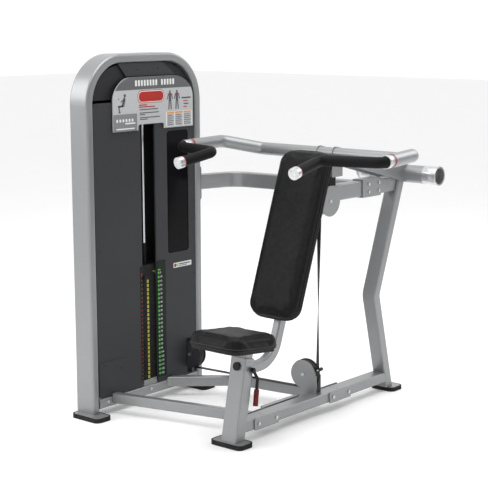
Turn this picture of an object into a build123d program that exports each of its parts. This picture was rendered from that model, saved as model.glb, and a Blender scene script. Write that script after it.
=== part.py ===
from build123d import *
import math
import os

# ---------------------------------------------------------------------------
# Shoulder press machine with a selectorised weight tower. Millimetres, +Z up.
# The user sits facing -Y. The weight tower stands on the user's right (-X),
# and the press arm swings about a shaft (along X) behind the user's head.
# While the parts are made, x = 0 is the centre plane of the seat and z = 0 is
# the floor. At the end every node is moved so that the origin lies on the
# floor under the middle of the whole machine's bounding box.
# ---------------------------------------------------------------------------

# Frame tube
TUBE_WIDE = 76.0
TUBE_DEEP = 50.0
WALL = 3.0
EDGE = 8.0                   # outer corner radius of the frame tube

# Weight tower
TOWER_HEIGHT = 1700.0
TOWER_FACE = -748.0          # face of the arch towards the seat
TOWER_DEPTH = 120.0          # arch, along X
TOWER_FRONT = -259.0         # outer faces of the two legs, along Y
TOWER_REAR = 507.0
ARCH_TUBE = 41.0
ARCH_RADIUS = 230.0          # outer radius of the arch's corners
TOWER_BACK = TOWER_FACE - TOWER_DEPTH
TOWER_MID_X = TOWER_FACE - TOWER_DEPTH / 2
TOWER_MID_Y = (TOWER_FRONT + TOWER_REAR) / 2
SHEET = 3.0                  # sheet of the shrouds

# Base frame
BEAM_LOW = 50.0
BEAM_TOP = BEAM_LOW + TUBE_DEEP
FOOT_TOP = 20.0
FOOT_WIDE = 184.0
FOOT_DEEP = 100.0
FOOT_ROUND = 28.0
REAR_FOOT_WIDE = 140.0
REAR_FOOT_Y = 1073.0
TOWER_FOOT_X = -770.0
CROSS_TUBE_Z = (38.0, 84.0)
FLOOR_TUBE = 38.0            # depth of the two floor tubes seen from above

# Seat
POST_FOOT_Y = -123.0         # middle of the post at the floor plate
POST_LEAN = 10.9             # degrees rearwards from upright
POST_TOP = 384.0
POST_WIDE = 88.0
POST_DEEP = 64.0
LEVER_RADIUS = 7.0
SEAT_Y = -118.0
SEAT_LOW = 448.0            # underside of the pad at its middle
SEAT_WIDE = 300.0
SEAT_DEEP = 320.0
SEAT_THICK = 62.0
SEAT_TILT = 6.0             # degrees, rear edge lower

# Back pad
PAD_LEAN = 19.5
PAD_WIDE = 288.0
PAD_HIGH = 788.0
PAD_THICK = 56.0
PAD_Y = 271.0                # middle of the pad
PAD_Z = 897.0

# Upper frame and press arm
UPPER_LOW = 1013.0
UPPER_TOP = 1089.0
UPRIGHT_BEND = (923.0, 510.0)
UPRIGHT_FOOT_Y = 1046.0
UPRIGHT_TOP = (1124.0, 1066.0)
PIVOT_Y = 1160.0
PIVOT_Z = 1095.0
HUB_RADIUS = 44.0
HUB_HALF = 234.0
HOUSING_HALF = 38.0
SHAFT_RADIUS = 15.0
ARM_RADIUS = 30.0
GRIP_RADIUS = 24.0
BAR_RADIUS = 16.0
CORNER = (549.0, 441.0, 1275.0)      # outer bend of each side of the yoke
COLLAR = (570.0, 228.0, 1268.0)      # front end of each side of the yoke
CROSS = (394.0, 557.0, 1240.0)       # end of the yoke's straight middle
ARM_PLATE = (42.0, 50.0)             # side plates of the arm, along X

# Drive belt and pulleys
BELT_WIDE = 25.0
BELT_THICK = 3.0
BELT_GAP = 0.3               # between a belt and the pulley it wraps
BELT_RUN_Z = 119.5           # middle of the belt's run along the floor
FLOOR_PULLEY = (-69.0, 488.0)
FLOOR_RADIUS = 66.0
TOWER_PULLEY = (-745.0, 425.0)
TOWER_RADIUS = 66.0
GUIDE_PULLEY = (545.0, 1019.0)
GUIDE_RADIUS = 46.0
TOP_PULLEY_Z = 1545.0
TOP_RADIUS = 44.0
AXLE_RADIUS = 8.0

# Weight stack
PLATE_COUNT = 25
PLATE_PITCH = 20.8
PLATE_THICK = 20.2
HEAD_THICK = 50.0
STACK_LOW = 113.0
STACK_Y = 100.0
STACK_X = -807.0
STACK_WIDE = 250.0
STACK_DEEP = 82.0
ROD_SPACING = 102.0
ROD_RADIUS = 9.0
ROD_TOP = 1480.0

nodes = {}


def keep(name, *solids):
    """File one or more solids under a node's name."""
    nodes.setdefault(name, []).extend(solids)


# --- shared shapes ----------------------------------------------------------

def block(x0, x1, y0, y1, z0, z1):
    """A box between two corners."""
    box = Box(x1 - x0, y1 - y0, z1 - z0)
    return Pos((x0 + x1) / 2, (y0 + y1) / 2, (z0 + z1) / 2) * box


def rod(start, end, radius):
    """A round bar from one point to another."""
    a, b = Vector(*start), Vector(*end)
    bar = Cylinder(radius, (b - a).length, align=(Align.CENTER, Align.CENTER, Align.MIN))
    return Plane(origin=a, z_dir=b - a) * bar


def swept(section, path, x_dir):
    """Sweep a flat section along a path that starts at the section's middle."""
    start = Plane(origin=path @ 0, x_dir=x_dir, z_dir=path % 0)
    return sweep(start * section, path=path)


def trimmed(solid, point, normal):
    """Cut a solid at a plane and drop the side its normal points to."""
    return split(solid, bisect_by=Plane(origin=point, z_dir=normal), keep=Keep.BOTTOM)


def drill(fasteners, *hosts):
    """Cut the holes that a node's fasteners pass through."""
    for host in hosts:
        for place, solid in enumerate(nodes[host]):
            near = solid.bounding_box()
            for bolt in nodes[fasteners]:
                if near.overlaps(bolt.bounding_box()):
                    solid = solid - bolt
            nodes[host][place] = solid


def frame_tube(points, radii, x_dir, wide=TUBE_WIDE, deep=TUBE_DEEP, edge=EDGE):
    """A bent rectangular tube, open at both ends. wide lies along x_dir."""
    points = [Vector(*p) for p in points]
    first, last = points[0], points[-1]
    longer = [first + (first - points[1]).normalized() * 5] + points[1:-1]
    longer.append(last + (last - points[-2]).normalized() * 5)
    outer = RectangleRounded(wide, deep, edge)
    inner = RectangleRounded(wide - 2 * WALL, deep - 2 * WALL, edge - WALL)
    if len(points) == 2:
        path, reach = Line(points[0], points[1]), Line(longer[0], longer[1])
    else:
        path = FilletPolyline(*points, radius=radii)
        reach = FilletPolyline(*longer, radius=radii)
    return swept(outer, path, x_dir) - swept(inner, reach, x_dir)


def round_tube(points, radii, outer, inner=0.0):
    """A bent round bar, or tube when inner is above 0."""
    points = [Vector(*p) for p in points]
    path = FilletPolyline(*points, radius=radii)
    start = Plane(origin=path @ 0, z_dir=path % 0)
    bar = sweep(start * Circle(outer), path=path)
    if inner > 0:
        bar -= sweep(start * Circle(inner), path=path)
    return bar


def outline_yz(points, x0, x1):
    """A plate with corners given as (y, z), between two X planes."""
    face = make_face(Polyline(*[(0, y, z) for y, z in points], close=True))
    return Pos(x0, 0, 0) * extrude(face, amount=x1 - x0, dir=(1, 0, 0))


def rounded_slab(wide, deep, thick, corner, crown):
    """A flat slab centred on the origin with round corners and soft edges."""
    slab = extrude(RectangleRounded(wide, deep, corner), amount=thick / 2, both=True)
    rims = slab.edges().group_by(Axis.Z)
    return fillet(list(rims[0]) + list(rims[-1]), crown)


def hex_bolt(place, radius, length, head=4.0):
    """A bolt whose head sits on the plane's outer side and whose shank goes in."""
    cap = extrude(RegularPolygon(radius * 1.8, 6), amount=head)
    shank = extrude(Circle(radius), amount=-length)
    return place * (cap + shank)


# --- base frame -------------------------------------------------------------

def foot_places():
    """Middle, width and leg footprint of each of the four feet."""
    return [
        (TOWER_FOOT_X, TOWER_FRONT + 6, FOOT_WIDE),
        (TOWER_FOOT_X, TOWER_REAR - 20, FOOT_WIDE),
        (0.0, POST_FOOT_Y - 8, FOOT_WIDE),
        (0.0, REAR_FOOT_Y, REAR_FOOT_WIDE),
    ]


def make_feet():
    for x, y, wide in foot_places():
        shoe = extrude(RectangleRounded(wide, FOOT_DEEP, FOOT_ROUND), amount=FOOT_TOP)
        tray = RectangleRounded(wide - 14, FOOT_DEEP - 14, FOOT_ROUND - 7)
        shoe -= Pos(0, 0, FOOT_TOP - 6) * extrude(tray, amount=20)
        keep("rubber_feet", Pos(x, y, 0) * shoe)
        plate = RectangleRounded(wide - 15, FOOT_DEEP - 15, FOOT_ROUND - 7.5)
        keep("foot_plates", Pos(x, y, FOOT_TOP - 6) * extrude(plate, amount=6))


def make_base():
    beam_z = (BEAM_LOW + BEAM_TOP) / 2
    joints_y = (62.0, 618.0)
    middle = [(0, joints_y[0] + 1, beam_z), (0, joints_y[1] - 1, beam_z)]
    keep("base_beam", frame_tube(middle, 0, (1, 0, 0)))
    post_face, post_front = lean_face(POST_DEEP / 2 + 0.2, rear=True)
    front_stub = frame_tube([(0, -110, beam_z), (0, joints_y[0] - 1, beam_z)], 0, (1, 0, 0))
    keep("base_stubs", trimmed(front_stub, post_face, post_front))
    foot, bend = Vector(0, UPRIGHT_FOOT_Y + 5, 0), Vector(0, *UPRIGHT_BEND)
    upright_run = (bend - foot).normalized()
    ahead = Vector(0, -upright_run.Z, upright_run.Y)
    rear_stub = frame_tube([(0, joints_y[1] + 1, beam_z), (0, 1060, beam_z)], 0, (1, 0, 0))
    keep("base_stubs", trimmed(rear_stub, foot + ahead * (TUBE_DEEP / 2 + 0.1), -ahead))
    for joint in joints_y:
        for side in (-1, 1):
            x = side * (TUBE_WIDE / 2 + 3.2)
            plate = fillet(Box(6, 170, TUBE_DEEP + 6).edges().filter_by(Axis.X), 8)
            keep("splice_plates", Pos(x, joint, beam_z) * plate)
            for y in (joint - 58, joint + 66):
                if side < 0 and y == joints_y[1] - 58:
                    continue
                face = Plane(origin=(side * (TUBE_WIDE / 2 + 6.2), y, beam_z), z_dir=(side, 0, 0))
                keep("frame_bolts", hex_bolt(face, 5, 5.8, 5))
    rail_x = -TUBE_WIDE / 2 - 26
    keep("side_rail", block(rail_x - 12, rail_x + 12, 160, 420, BEAM_LOW + 6, BEAM_TOP - 2))
    for y in (180, 400):
        keep("side_rail", block(rail_x + 12, -TUBE_WIDE / 2, y - 10, y + 10, BEAM_LOW + 12, BEAM_TOP - 12))

    plate_face = (-TUBE_WIDE / 2 - 6.3, 0, 0)
    sill_face = (TOWER_FACE - 0.2, 0, 0)
    front = [(TOWER_FACE - 20, -120, beam_z), (0, 69, beam_z)]
    rear = [(TOWER_FACE - 20, 251, beam_z), (-488, 503, beam_z), (0, 568, beam_z)]
    for name, run in (("front_floor_tube", front), ("rear_floor_tube", rear)):
        tube = frame_tube(run, 90, (0, 0, 1), TUBE_DEEP, FLOOR_TUBE)
        tube = trimmed(tube, plate_face, (1, 0, 0))
        keep(name, trimmed(tube, sill_face, (-1, 0, 0)))


# --- weight tower -----------------------------------------------------------

def make_tower_frame():
    half = ARCH_TUBE / 2
    y0, y1, top = TOWER_FRONT + half, TOWER_REAR - half, TOWER_HEIGHT - half
    x = TOWER_MID_X
    path = [(x, y0, FOOT_TOP), (x, y0, top), (x, y1, top), (x, y1, FOOT_TOP)]
    arch = frame_tube(path, ARCH_RADIUS - half, (1, 0, 0), TOWER_DEPTH, ARCH_TUBE, 12)
    keep("tower_arch", arch)

    low, high = CROSS_TUBE_Z
    inner0, inner1 = TOWER_FRONT + ARCH_TUBE, TOWER_REAR - ARCH_TUBE
    mid_z = (low + high) / 2
    for x, wide in ((TOWER_FACE - 38.3, 76), (TOWER_BACK + 20, 40)):
        ends = [(x, inner0 + 0.2, mid_z), (x, inner1 - 0.2, mid_z)]
        keep("tower_sills", frame_tube(ends, 0, (1, 0, 0), wide, high - low))
    shelf_x = TOWER_FACE - 16
    keep("tower_sills", block(shelf_x, shelf_x + 4, 88, 181, high + 0.1, STACK_LOW - 1))
    for y in (-166, 126):
        face = Plane(origin=(TOWER_FACE - 0.3, y, mid_z + 5), z_dir=(1, 0, 0))
        keep("frame_bolts", hex_bolt(face, 5, 2.9, 5))


def sheet_panel(y0, y1, z0, z1, x_face, corner):
    """A shroud sheet facing +X with rounded corners and folded side lips."""
    wide, high = y1 - y0, z1 - z0
    place = Plane(origin=(x_face, (y0 + y1) / 2, (z0 + z1) / 2), x_dir=(0, 1, 0), z_dir=(1, 0, 0))
    shell = extrude(RectangleRounded(wide, high, corner), amount=-9)
    core = extrude(RectangleRounded(wide - 2 * SHEET, high - 2 * SHEET, max(corner - SHEET, 1)), amount=-9)
    return place * (shell - Pos(0, 0, -SHEET) * core)


def make_shrouds():
    x = TOWER_FACE - 6
    gap0, gap1 = 86.0, 183.0
    y0, y1 = TOWER_FRONT + ARCH_TUBE + 2, TOWER_REAR - ARCH_TUBE - 2
    keep("front_shroud", sheet_panel(y0, gap0, 88, 1478, x, 16))
    rear = sheet_panel(gap1, y1, 88, 1478, x, 16)
    window = Plane(origin=(x, 341, 1022), x_dir=(0, 1, 0), z_dir=(1, 0, 0))
    rear -= window * extrude(RectangleRounded(150, 603, 18), amount=10, both=True)
    rear -= block(x - 30, x + 5, TOWER_PULLEY[1] - 34, TOWER_PULLEY[1] + 34, 60, 270)
    keep("rear_shroud", rear)
    pane = window * (Pos(0, 0, -SHEET - 0.2) * extrude(RectangleRounded(160, 613, 20), amount=-3))
    keep("shroud_window", pane)

    back_low, back_top = 100.0, TOWER_HEIGHT - ARCH_TUBE - 2
    back = extrude(RectangleRounded(y1 - y0, back_top - back_low, ARCH_RADIUS - ARCH_TUBE - 2), amount=3)
    back_middle = (TOWER_BACK + 6, TOWER_MID_Y, (back_low + back_top) / 2)
    keep("inner_shrouds", Plane(origin=back_middle, x_dir=(0, 1, 0), z_dir=(1, 0, 0)) * back)

    crown_outline = [
        (y0 + 4, 1490), (y0 + 22, 1560), (y0 + 84, 1626), (y0 + 180, 1652),
        (y1 - 180, 1652), (y1 - 84, 1626), (y1 - 22, 1560), (y1 - 4, 1490),
    ]
    keep("inner_shrouds", outline_yz(crown_outline, x - 18, x - 14))
    keep("placard", placard(x + 3.2))

    access = [(y0 + 3, 92), (-42, 92), (-42, 259), (y0 + 3, 259)]
    keep("access_panel", outline_yz(access, x + 0.4, x + 2.4))
    keep("stack_labels", block(x + 0.2, x + 1.6, 186, 245, 112, 696))
    keep("stack_labels", block(x + 0.2, x + 1.6, 71, 83, 118, 684))
    for y, z in ((y0 + 46, 240), (-66, 210), (y0 + 30, 1466), (430, 1466), (y0 + 30, 790), (450, 600)):
        raised = 2.4 if z < 260 else 0
        face = Plane(origin=(x + raised, y, z), z_dir=(1, 0, 0))
        keep("shroud_screws", hex_bolt(face, 3, 2.3 + raised, 2.5))


def placard(x):
    """The instruction board over the tower's crown, its rear face at x."""
    left, right, low, shoulder, top = -98.0, 446.0, 1340.0, 1480.0, 1590.0
    notch = ((66, low), (66, low + 20), (74, low + 27), (232, low + 27), (242, low + 20), (242, low))
    board = Plane(origin=(0, 0, 0), x_dir=(0, 1, 0), z_dir=(1, 0, 0))
    with BuildSketch(board) as sketch:
        with BuildLine():
            Polyline((left, shoulder), (left, low), *notch, (right, low), (right, shoulder))
            high_right = (right - 40, top - 34)
            Spline((right, shoulder), high_right, (right - 150, top), tangents=((0, 1), (-1, 0)))
            Line((right - 150, top), (left + 120, top))
            Spline((left + 120, top), (left + 30, top - 40), (left, shoulder), tangents=((-1, 0), (0, -1)))
        make_face()
    return Pos(x, 0, 0) * extrude(sketch.sketch, amount=5)


def plate_with_holes(z, thick):
    """One cast weight plate with two guide holes and a selector hole."""
    plate = extrude(RectangleRounded(STACK_DEEP, STACK_WIDE, 6), amount=thick)
    for y in (-ROD_SPACING / 2, ROD_SPACING / 2):
        plate -= Pos(0, y, -1) * extrude(Circle(ROD_RADIUS + 1), amount=thick + 2)
    plate -= Pos(0, 0, -1) * extrude(Circle(13), amount=thick + 2)
    pin_hole = Plane(origin=(STACK_DEEP / 2 + 1, 0, thick / 2), z_dir=(-1, 0, 0))
    plate -= pin_hole * extrude(Circle(5), amount=STACK_DEEP / 2)
    return Pos(STACK_X, STACK_Y, z) * plate


def make_stack():
    rest_count = PLATE_COUNT - 1
    for index in range(rest_count):
        keep("weight_plates", plate_with_holes(STACK_LOW + index * PLATE_PITCH, PLATE_THICK))
    top_z = STACK_LOW + rest_count * PLATE_PITCH
    keep("selected_plate", plate_with_holes(top_z, PLATE_THICK))
    head = extrude(RectangleRounded(STACK_DEEP, STACK_WIDE, 6), amount=HEAD_THICK)
    for y in (-ROD_SPACING / 2, ROD_SPACING / 2):
        head -= Pos(0, y, -1) * extrude(Circle(ROD_RADIUS + 1), amount=HEAD_THICK + 2)
    head -= Pos(0, 0, -1) * extrude(Circle(11), amount=HEAD_THICK + 2)
    head_z = top_z + PLATE_PITCH
    keep("head_plate", Pos(STACK_X, STACK_Y, head_z) * head)
    stem_top = head_z + HEAD_THICK + 30
    stem = rod((STACK_X, STACK_Y, STACK_LOW + 6), (STACK_X, STACK_Y, stem_top), 11)
    for index in range(PLATE_COUNT):
        z = STACK_LOW + index * PLATE_PITCH + PLATE_THICK / 2
        stem -= rod((STACK_X - 15, STACK_Y, z), (STACK_X + 15, STACK_Y, z), 5.2)
    keep("selector_stem", stem)
    clip = Box(BELT_WIDE + 9, 20, 42)
    clip -= Pos(0, 0, 16) * Box(BELT_WIDE + 0.4, BELT_THICK + 0.4, 32)
    keep("selector_stem", Pos(STACK_X, STACK_Y, stem_top + 21) * clip)
    pin_z = top_z + PLATE_THICK / 2
    face_x = STACK_X + STACK_DEEP / 2
    pin = rod((STACK_X + 12, STACK_Y, pin_z), (face_x + 8, STACK_Y, pin_z), 4.6)
    keep("selector_pin", pin + rod((face_x + 1, STACK_Y, pin_z), (face_x + 22, STACK_Y, pin_z), 10))

    low = CROSS_TUBE_Z[1]
    for y in (STACK_Y - ROD_SPACING / 2, STACK_Y + ROD_SPACING / 2):
        keep("guide_rods", rod((STACK_X, y, low), (STACK_X, y, ROD_TOP), ROD_RADIUS))
        ring = rod((STACK_X, y, low), (STACK_X, y, STACK_LOW - 0.3), 22)
        keep("rubber_bumpers", ring - rod((STACK_X, y, low - 1), (STACK_X, y, STACK_LOW), ROD_RADIUS))
        sleeve_z = head_z + HEAD_THICK
        sleeve = rod((STACK_X, y, sleeve_z), (STACK_X, y, sleeve_z + 102), 13)
        bored = rod((STACK_X, y, sleeve_z - 1), (STACK_X, y, sleeve_z + 103), ROD_RADIUS + 0.8)
        keep("head_plate", sleeve - bored)


# --- seat ---------------------------------------------------------------------

def lean_point(distance):
    """A point on the post's axis, measured up from the floor plate."""
    lean = math.radians(POST_LEAN)
    return (0, POST_FOOT_Y + distance * math.sin(lean), FOOT_TOP + distance * math.cos(lean))


def lean_face(offset, rear=False):
    """A point on the post's front or rear face and the unit vector to its front."""
    lean = math.radians(POST_LEAN)
    front = Vector(0, -math.cos(lean), math.sin(lean))
    return Vector(*lean_point(100)) + front * (-offset if rear else offset), front


def make_seat():
    lean = math.radians(POST_LEAN)
    length = (POST_TOP - FOOT_TOP) / math.cos(lean)
    low, high = lean_point(0), lean_point(length)
    post = frame_tube([lean_point(-8), high], 0, (1, 0, 0), POST_WIDE, POST_DEEP)
    post -= block(-60, 60, -300, 100, FOOT_TOP - 40, FOOT_TOP)
    pivot = Vector(0, -50, 334)
    half = POST_WIDE / 2
    post -= rod((-half - 1, pivot.Y, pivot.Z), (half + 1, pivot.Y, pivot.Z), 4.06)
    keep("seat_post", post)
    axis = Vector(0, math.sin(lean), math.cos(lean))
    front = Vector(0, -math.cos(lean), math.sin(lean))
    cap_at = Vector(*lean_point(length - 40)) + front * (POST_DEEP / 2 + 0.3)
    cap = Plane(origin=cap_at, z_dir=front) * Cylinder(19, 8, align=(Align.CENTER, Align.CENTER, Align.MIN))
    keep("post_cap", cap)

    tilt = math.radians(SEAT_TILT)
    normal = (0, math.sin(tilt), math.cos(tilt))
    under_pad = Plane(origin=(0, SEAT_Y, SEAT_LOW), x_dir=(1, 0, 0), z_dir=normal)
    stem = frame_tube([lean_point(length - 190), lean_point(length + 70)], 0, (1, 0, 0), 74, 50, 6)
    stem -= under_pad * (Pos(0, 0, 41.8) * Box(200, 600, 120))
    keep("seat_stem", stem)
    keep("seat_stem", under_pad * (Pos(0, 0, -15) * Box(180, 190, 6)))
    board = extrude(RectangleRounded(SEAT_WIDE - 24, SEAT_DEEP - 24, 48), amount=12)
    keep("seat_board", under_pad * (Pos(0, 0, -12) * board))
    pad = rounded_slab(SEAT_WIDE, SEAT_DEEP, SEAT_THICK, 60, 18)
    keep("seat_pad", under_pad * (Pos(0, 0, SEAT_THICK / 2) * pad))

    for side in (-1, 1):
        top = pivot + Vector(side * (half + 12.5), 0, 0)
        knee = top + Vector(0, 30, -43)
        end = knee + Vector(0, -14, -118)
        pin = rod((side * (half - 3), pivot.Y, pivot.Z), (side * (half + 18), pivot.Y, pivot.Z), 4)
        head = rod((side * (half + 18), pivot.Y, pivot.Z), (side * (half + 21), pivot.Y, pivot.Z), 9)
        bar = round_tube([tuple(top), tuple(knee), tuple(end)], 22, LEVER_RADIUS)
        eye = rod((side * (half + 5), pivot.Y, pivot.Z), (side * (half + 18), pivot.Y, pivot.Z), 11)
        keep("seat_lever", bar + eye + pin + head)
        grip_start = knee + (end - knee) * 0.42
        sleeve = rod(tuple(grip_start), tuple(end + (end - knee).normalized() * 5), 11.5)
        keep("lever_grips", sleeve - rod(tuple(knee), tuple(end), LEVER_RADIUS))
    tie = rod((-half - 12.5, pivot.Y + 30, pivot.Z - 43), (half + 12.5, pivot.Y + 30, pivot.Z - 43), 4)
    lever = nodes.pop("seat_lever")
    keep("seat_lever", lever[0] + lever[1] + tie)


def pad_frame():
    """Plane through the middle of the back pad, z_dir out of its rear face."""
    lean = math.radians(PAD_LEAN)
    return Plane(origin=(0, PAD_Y, PAD_Z), x_dir=(1, 0, 0), z_dir=(0, math.cos(lean), -math.sin(lean)))


def make_back():
    plane = pad_frame()
    pad = plane * rounded_slab(PAD_WIDE, PAD_HIGH, PAD_THICK, 70, 18)
    keep("back_pad", pad)
    board = extrude(RectangleRounded(PAD_WIDE - 24, PAD_HIGH - 24, 58), amount=12)
    keep("back_board", plane * (Pos(0, 0, PAD_THICK / 2) * board))


# --- upper frame --------------------------------------------------------------

def make_back_support():
    lean = math.radians(PAD_LEAN)
    up = Vector(0, math.sin(lean), math.cos(lean))
    out = Vector(0, math.cos(lean), -math.sin(lean))
    middle = Vector(0, PAD_Y, PAD_Z)
    rear_face = PAD_THICK / 2 + 12
    centre_line = middle + out * (rear_face + 8 + 24)
    top = centre_line + up * 172
    heel = centre_line - up * ((centre_line.Z - 326) / math.cos(lean))
    post_face, post_front = lean_face(POST_DEEP / 2 + 0.2, rear=True)
    path = [(0, -70, 326), (0, heel.Y, 326), tuple(top)]
    tube = frame_tube(path, 130, (1, 0, 0), 40, 48)
    keep("back_support_tube", trimmed(tube, post_face, post_front))
    tie = block(-31.2, 31.2, 380, 446, 1030, 1078)
    keep("guide_bracket", trimmed(tie, centre_line + out * 24.1, -out))
    for distance in (-250, 0):
        spot = centre_line + up * distance - out * 28
        frame = Plane(origin=spot, x_dir=(1, 0, 0), z_dir=out)
        keep("back_support_tube", frame * Box(90, 60, 7.6))


def make_upper_frame():
    upright = [(0, UPRIGHT_FOOT_Y + 5, 0), (0, *UPRIGHT_BEND), (0, *UPRIGHT_TOP)]
    column = frame_tube(upright, 60, (1, 0, 0))
    column -= block(-60, 60, 900, 1200, -40, FOOT_TOP)
    column -= rod((-60, PIVOT_Y, PIVOT_Z), (60, PIVOT_Y, PIVOT_Z), HUB_RADIUS)
    keep("rear_upright", column)

    mid_z, high = (UPPER_LOW + UPPER_TOP) / 2, UPPER_TOP - UPPER_LOW
    bend, top = Vector(0, *UPRIGHT_BEND), Vector(0, *UPRIGHT_TOP)
    slope = (top - bend).normalized()
    ahead = Vector(0, slope.Z, -slope.Y)
    joint_y = 882.0
    stub = frame_tube([(0, joint_y + 1, mid_z), (0, 1150, mid_z)], 0, (1, 0, 0), TUBE_DEEP, high)
    keep("upper_beam", trimmed(stub, top - ahead * (TUBE_DEEP / 2 + 0.1), ahead))
    front = GUIDE_PULLEY[0] + GUIDE_RADIUS + 12
    beam = [(0, front, mid_z), (0, joint_y - 1, mid_z)]
    keep("upper_beam", frame_tube(beam, 0, (1, 0, 0), TUBE_DEEP, high))
    sleeve = block(-31, 31, joint_y - 80, joint_y + 70, UPPER_LOW - 6, UPPER_TOP + 6)
    sleeve -= block(-25.2, 25.2, joint_y - 81, joint_y + 71, UPPER_LOW - 0.2, UPPER_TOP + 0.2)
    keep("splice_plates", sleeve)
    for side in (-1, 1):
        for y in (joint_y - 32, joint_y + 52):
            for z in (mid_z - 19, mid_z + 19):
                face = Plane(origin=(side * 31, y, z), z_dir=(side, 0, 0))
                keep("frame_bolts", hex_bolt(face, 4.5, 5.6, 5))

    y, z = GUIDE_PULLEY
    for side in (-1, 1):
        x = side * (TUBE_DEEP / 2 + 3.2)
        disc = rod((x - 3, y, z), (x + 3, y, z), 72)
        tongue = block(x - 3, x + 3, y - 99, y + 90, UPPER_LOW + 17, UPPER_TOP - 11)
        cheek = disc + tongue + block(x - 3, x + 3, y - 40, y + 90, z, UPPER_TOP - 3)
        cheek -= rod((x - 4, y, z), (x + 4, y, z), AXLE_RADIUS)
        keep("guide_bracket", cheek)
    keep("guide_bracket", block(-25, 25, y - 38, front - 1, UPPER_TOP - 6, UPPER_TOP))
    keep("pulley_axles", rod((-34, y, z), (34, y, z), AXLE_RADIUS))
    pad = block(-24, 24, y - 5, y + 50, UPPER_TOP, UPPER_TOP + 38)
    keep("rubber_bumpers", fillet(pad.edges().filter_by(Axis.Z), 6))

    link_z = mid_z - 4
    link = [(TOWER_MID_X - 15, TOWER_REAR - 34, link_z), (TOWER_MID_X + 64, 760, link_z), (0, 840, link_z)]
    tube = frame_tube(link, 120, (0, 0, 1), high, TUBE_DEEP)
    tube = trimmed(tube, (0, TOWER_REAR + 6.1, 0), (0, -1, 0))
    keep("link_tube", trimmed(tube, (-31.2, 0, 0), (1, 0, 0)))
    link_plate = fillet(Box(110, 6, 172).edges().filter_by(Axis.Y), 12)
    keep("link_tube", Pos(TOWER_MID_X, TOWER_REAR + 3, link_z) * link_plate)
    for x in (-38, 38):
        for z in (-68, 68):
            face = Plane(origin=(TOWER_MID_X + x, TOWER_REAR + 6, link_z + z), z_dir=(0, 1, 0))
            keep("frame_bolts", hex_bolt(face, 5, 5.8, 5))

    housing = rod((-HOUSING_HALF, PIVOT_Y, PIVOT_Z), (HOUSING_HALF, PIVOT_Y, PIVOT_Z), HUB_RADIUS - 0.2)
    housing -= rod((-60, PIVOT_Y, PIVOT_Z), (60, PIVOT_Y, PIVOT_Z), SHAFT_RADIUS + 0.05)
    keep("rear_upright", housing)


# --- press arm ------------------------------------------------------------------

def mirrored(solid):
    """The same piece on the other side of the seat's centre plane."""
    return mirror(solid, about=Plane.YZ)


def make_press_arm():
    hub_axis = ((-300, PIVOT_Y, PIVOT_Z), (300, PIVOT_Y, PIVOT_Z))
    half = [COLLAR, CORNER, CROSS]
    whole = half + [(-x, y, z) for x, y, z in reversed(half)]
    keep("arm_yoke", round_tube(whole, 60, ARM_RADIUS, ARM_RADIUS - WALL))

    cross_y, cross_z = CROSS[1:]
    near, far = ARM_PLATE
    cross_bar = rod((-100, cross_y, cross_z), (100, cross_y, cross_z), ARM_RADIUS)
    shaft = rod(*hub_axis, SHAFT_RADIUS)
    run = Vector(0, PIVOT_Y - cross_y, PIVOT_Z - cross_z)
    side = Vector(0, -run.Z, run.Y).normalized()
    outline = []
    for centre, width in (((cross_y, cross_z), 34.0), ((PIVOT_Y, PIVOT_Z), HUB_RADIUS)):
        for sign in (-1, 1):
            outline.append((centre[0] + sign * side.Y * width, centre[1] + sign * side.Z * width))
    outline = [outline[0], outline[1], outline[3], outline[2]]
    plate = outline_yz(outline, near, far)
    plate += rod((near, cross_y, cross_z), (far, cross_y, cross_z), 34)
    plate += rod((near, PIVOT_Y, PIVOT_Z), (far, PIVOT_Y, PIVOT_Z), HUB_RADIUS)
    plate = plate - cross_bar - shaft
    keep("arm_plates", plate, mirrored(plate))

    start = far + 0.2
    hub = rod((start, PIVOT_Y, PIVOT_Z), (HUB_HALF, PIVOT_Y, PIVOT_Z), HUB_RADIUS)
    hub -= rod((start + 30, PIVOT_Y, PIVOT_Z), (HUB_HALF + 5, PIVOT_Y, PIVOT_Z), HUB_RADIUS - 5)
    hub -= shaft
    keep("arm_hub", hub, mirrored(hub))
    plug_at = HUB_HALF - 40
    plug = rod((plug_at, PIVOT_Y, PIVOT_Z), (plug_at + 8, PIVOT_Y, PIVOT_Z), HUB_RADIUS - 5)
    keep("arm_hub", plug, mirrored(plug))
    shaft_end = far + 26
    keep("pivot_shaft", rod((-shaft_end, PIVOT_Y, PIVOT_Z), (shaft_end, PIVOT_Y, PIVOT_Z), SHAFT_RADIUS))

    low = UPPER_TOP + 38.4
    stop = block(-24, 24, cross_y + 6, cross_y + 88, low, cross_z - 8)
    stop -= cross_bar
    keep("stop_bracket", stop)
    belt_y = GUIDE_PULLEY[0] - GUIDE_RADIUS - BELT_GAP - BELT_THICK / 2
    clamp = block(-20, 20, belt_y - 12, cross_y + 6, low + 6, low + 30)
    clamp -= block(-BELT_WIDE / 2 - 0.2, BELT_WIDE / 2 + 0.2, belt_y - 1.7, belt_y + 1.7, low, low + 22)
    keep("stop_bracket", clamp)
    half, flat = BELT_WIDE / 2, BELT_THICK / 2
    keep("arm_belt", block(-half, half, belt_y - flat, belt_y + flat, GUIDE_PULLEY[1], low + 21))


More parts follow.
